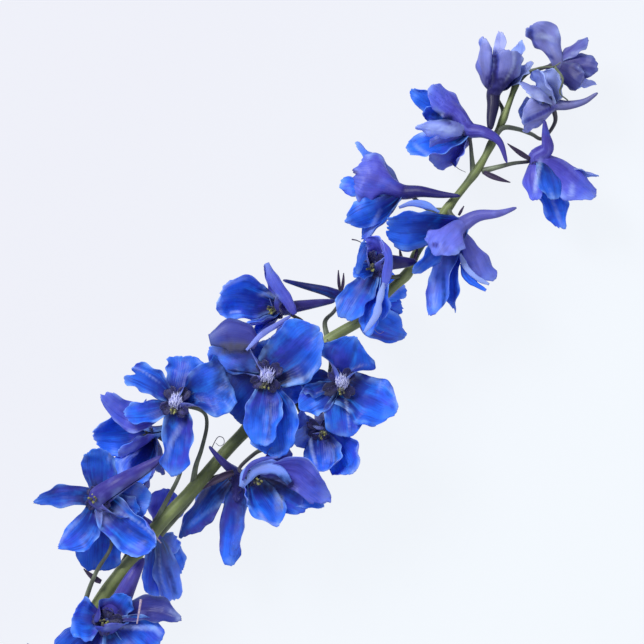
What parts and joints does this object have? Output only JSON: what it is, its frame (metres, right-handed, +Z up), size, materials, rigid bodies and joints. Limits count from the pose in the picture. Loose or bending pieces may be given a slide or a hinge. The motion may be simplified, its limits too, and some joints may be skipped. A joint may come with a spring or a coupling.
{
  "type": "delphinium flower spike",
  "caption": "Cut delphinium stem lying on a surface, with spurred blue florets on arching stalks, pale eyes at their centres and a plain cut end.",
  "frame": {"origin": "middle of the bounding box, on the surface that the cut spike lies on", "axes": "+X along the spike from the cut end to its tip, +Y across it, +Z up"},
  "size_m": [0.3291, 0.0882, 0.0446],
  "materials": {
    "stem_green": "satin olive green, faintly downy",
    "sepal_blue": "soft matt blue petal, violet on its outer side",
    "eye_pale": "soft pale lilac petal"
  },
  "bodies": {
    "root": {"stem": "stem_green", "floret_01_sepals": "sepal_blue", "floret_01_eye": "eye_pale", "floret_02_sepals": "sepal_blue", "floret_02_eye": "eye_pale", "floret_03_sepals": "sepal_blue", "floret_03_eye": "eye_pale", "floret_04_sepals": "sepal_blue", "floret_04_eye": "eye_pale", "floret_05_sepals": "sepal_blue", "floret_05_eye": "eye_pale", "floret_06_sepals": "sepal_blue", "floret_06_eye": "eye_pale", "floret_07_sepals": "sepal_blue", "floret_07_eye": "eye_pale", "floret_08_sepals": "sepal_blue", "floret_08_eye": "eye_pale", "floret_09_sepals": "sepal_blue", "floret_09_eye": "eye_pale", "floret_10_sepals": "sepal_blue", "floret_10_eye": "eye_pale", "floret_11_sepals": "sepal_blue", "floret_11_eye": "eye_pale", "floret_12_sepals": "sepal_blue", "floret_12_eye": "eye_pale", "floret_13_sepals": "sepal_blue", "floret_13_eye": "eye_pale", "floret_14_sepals": "sepal_blue", "floret_14_eye": "eye_pale", "floret_15_sepals": "sepal_blue", "floret_15_eye": "eye_pale", "floret_16_sepals": "sepal_blue", "floret_16_eye": "eye_pale", "floret_17_sepals": "sepal_blue", "floret_17_eye": "eye_pale", "floret_18_sepals": "sepal_blue", "floret_18_eye": "eye_pale", "floret_19_sepals": "sepal_blue", "floret_19_eye": "eye_pale", "floret_20_sepals": "sepal_blue", "floret_20_eye": "eye_pale", "floret_21_sepals": "sepal_blue", "floret_21_eye": "eye_pale"}
  },
  "joints": []
}
